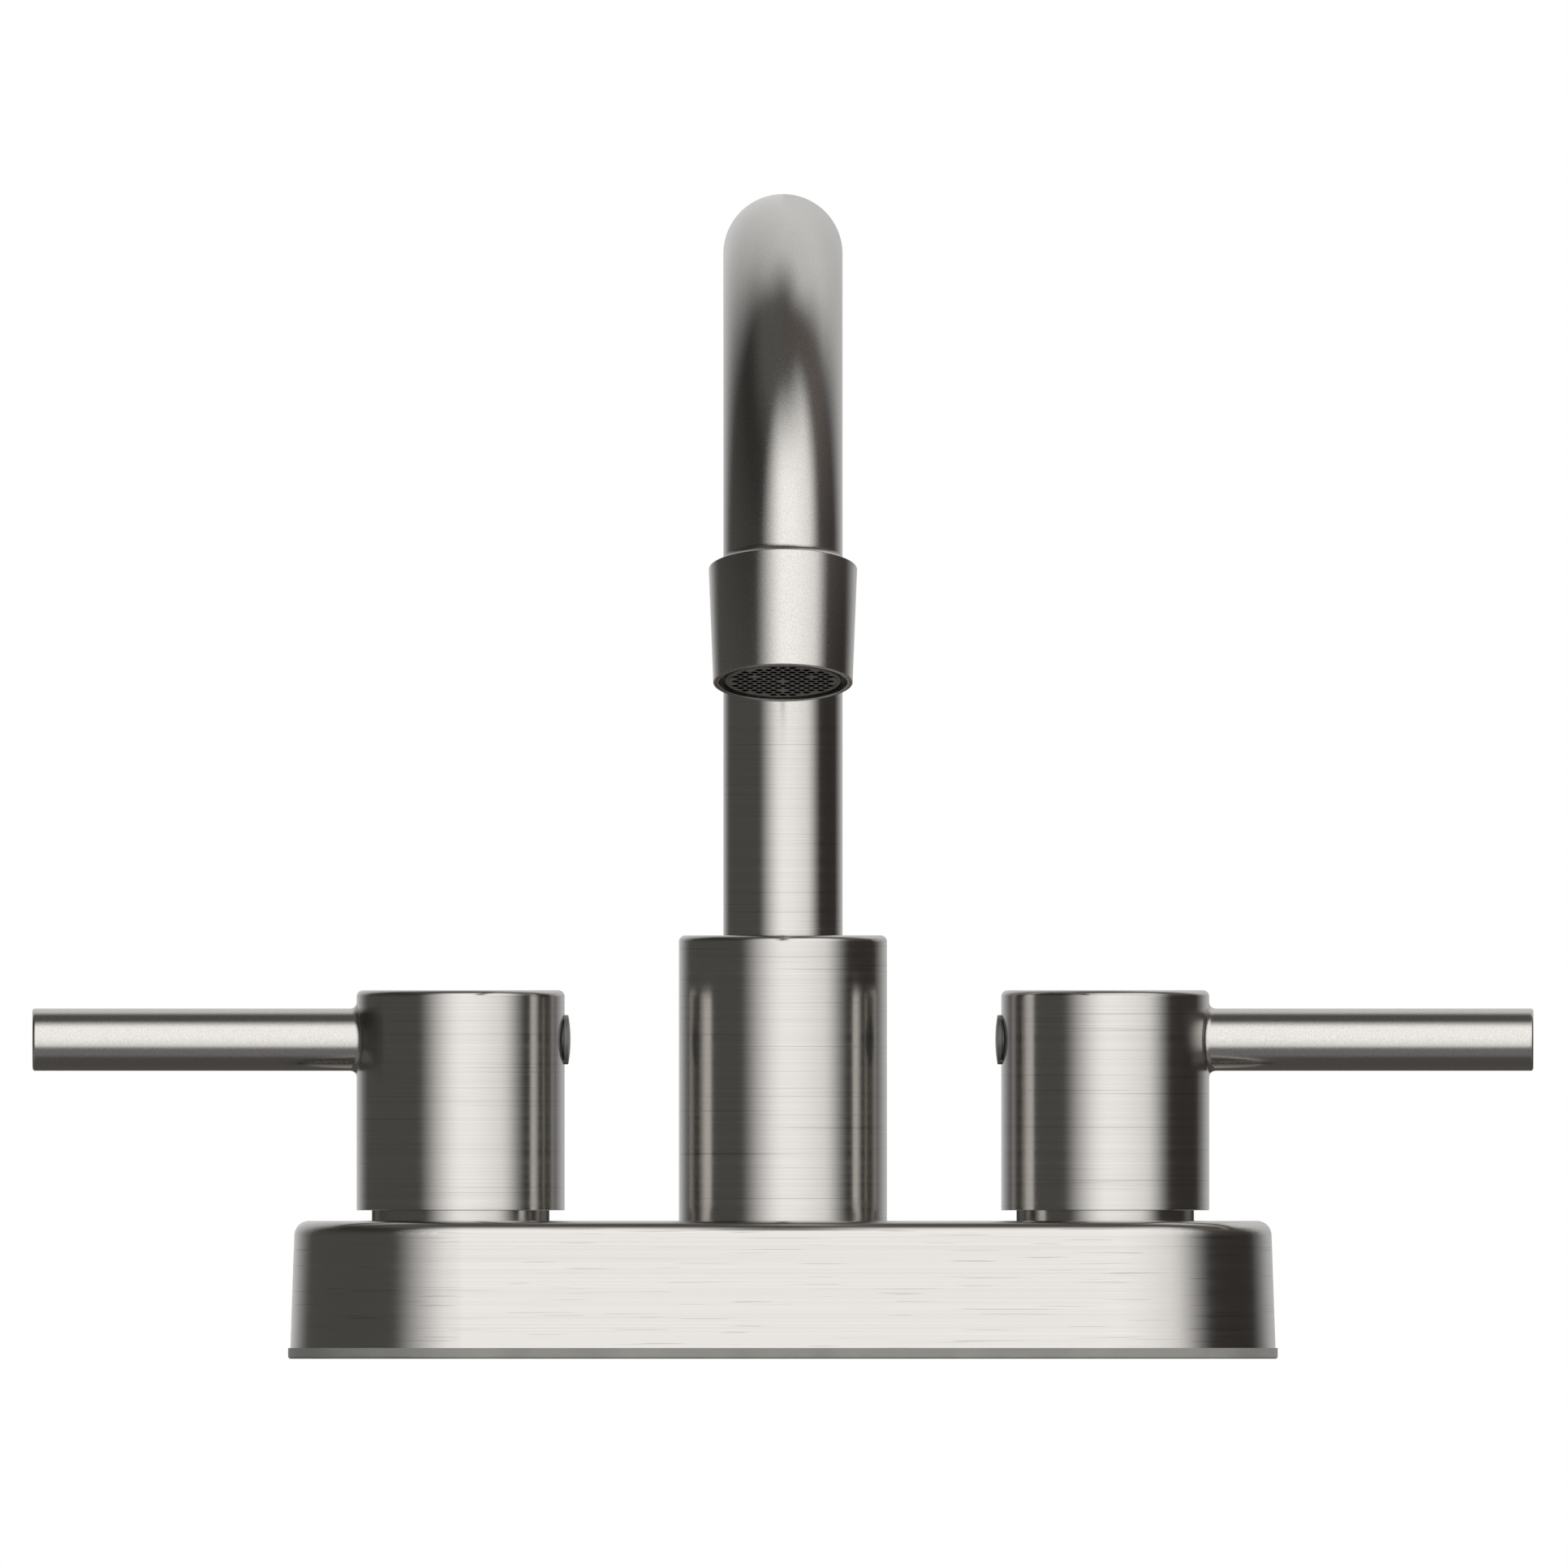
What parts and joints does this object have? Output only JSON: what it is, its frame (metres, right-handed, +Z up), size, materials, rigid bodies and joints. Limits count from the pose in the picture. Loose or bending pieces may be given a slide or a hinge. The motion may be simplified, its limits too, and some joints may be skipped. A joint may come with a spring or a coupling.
{
  "type": "centerset bathroom faucet",
  "caption": "Two-handle centerset bathroom faucet with a high-arc swivel tube spout on a low stadium-shaped base, satin brushed nickel.",
  "frame": {"origin": "on the deck, at the centre of the gasket's underside, under the spout's swivel axis", "axes": "+Z up along the spout's swivel axis, +X along the base towards the cold handle, -Y towards the user"},
  "size_m": [0.2366, 0.1684, 0.1836],
  "materials": {
    "gasket": "grey satin moulded plastic",
    "brushed_nickel": "satin brushed nickel plating",
    "brass": "raw turned brass",
    "copper": "drawn copper tube",
    "stainless": "plain stainless steel",
    "plug_grey": "grey plated metal button",
    "seal_rubber": "black nitrile rubber",
    "glide_plastic": "white acetal",
    "aerator_plastic": "light grey moulded plastic",
    "ceramic": "lapped alumina"
  },
  "bodies": {
    "base": {"base_gasket": "gasket", "base_cover": "brushed_nickel", "spout_hub": "brushed_nickel", "spout_body": "brass", "spout_body_nut": "brass", "spout_retaining_screw": "stainless", "hot_crossover_tube": "copper", "hot_valve_body": "brass", "hot_trim_ring": "brushed_nickel", "hot_cartridge_housing": "brass", "hot_housing_oring": "seal_rubber", "hot_seat_seal": "seal_rubber", "hot_fixed_disc": "ceramic", "cold_crossover_tube": "copper", "cold_valve_body": "brass", "cold_trim_ring": "brushed_nickel", "cold_cartridge_housing": "brass", "cold_housing_oring": "seal_rubber", "cold_seat_seal": "seal_rubber", "cold_fixed_disc": "ceramic"},
    "hot_lever": {"hot_handle": "brushed_nickel", "hot_handle_plug": "plug_grey", "hot_handle_set_screw": "stainless", "hot_valve_stem": "brass", "hot_moving_disc": "ceramic", "hot_stem_glide_ring": "glide_plastic", "hot_stem_oring": "seal_rubber", "hot_stop_washer": "stainless", "hot_stem_clip": "stainless"},
    "cold_lever": {"cold_handle": "brushed_nickel", "cold_handle_plug": "plug_grey", "cold_handle_set_screw": "stainless", "cold_valve_stem": "brass", "cold_moving_disc": "ceramic", "cold_stem_glide_ring": "glide_plastic", "cold_stem_oring": "seal_rubber", "cold_stop_washer": "stainless", "cold_stem_clip": "stainless"},
    "spout": {"spout_tube": "brushed_nickel", "spout_foot": "brass", "foot_oring_lower": "seal_rubber", "foot_oring_upper": "seal_rubber", "spout_glide_washer": "glide_plastic", "outlet_collar": "brushed_nickel", "aerator_shell": "stainless", "aerator_lattice": "aerator_plastic", "aerator_regulator": "aerator_plastic", "aerator_screen": "aerator_plastic", "aerator_seal": "seal_rubber"}
  },
  "joints": [
    {"name": "hot_handle_turn", "type": "hinge", "parent": "base", "child": "hot_lever", "pos_m": [-0.0508, 0, 0.05], "axis": [0, 0, 1], "range_deg": [0, 90]},
    {"name": "cold_handle_turn", "type": "hinge", "parent": "base", "child": "cold_lever", "pos_m": [0.0508, 0, 0.05], "axis": [0, 0, -1], "range_deg": [0, 90]},
    {"name": "spout_swivel", "type": "hinge", "parent": "base", "child": "spout", "pos_m": [0, 0, 0.06], "axis": [0, 0, 1], "range_deg": [-60, 60]}
  ]
}
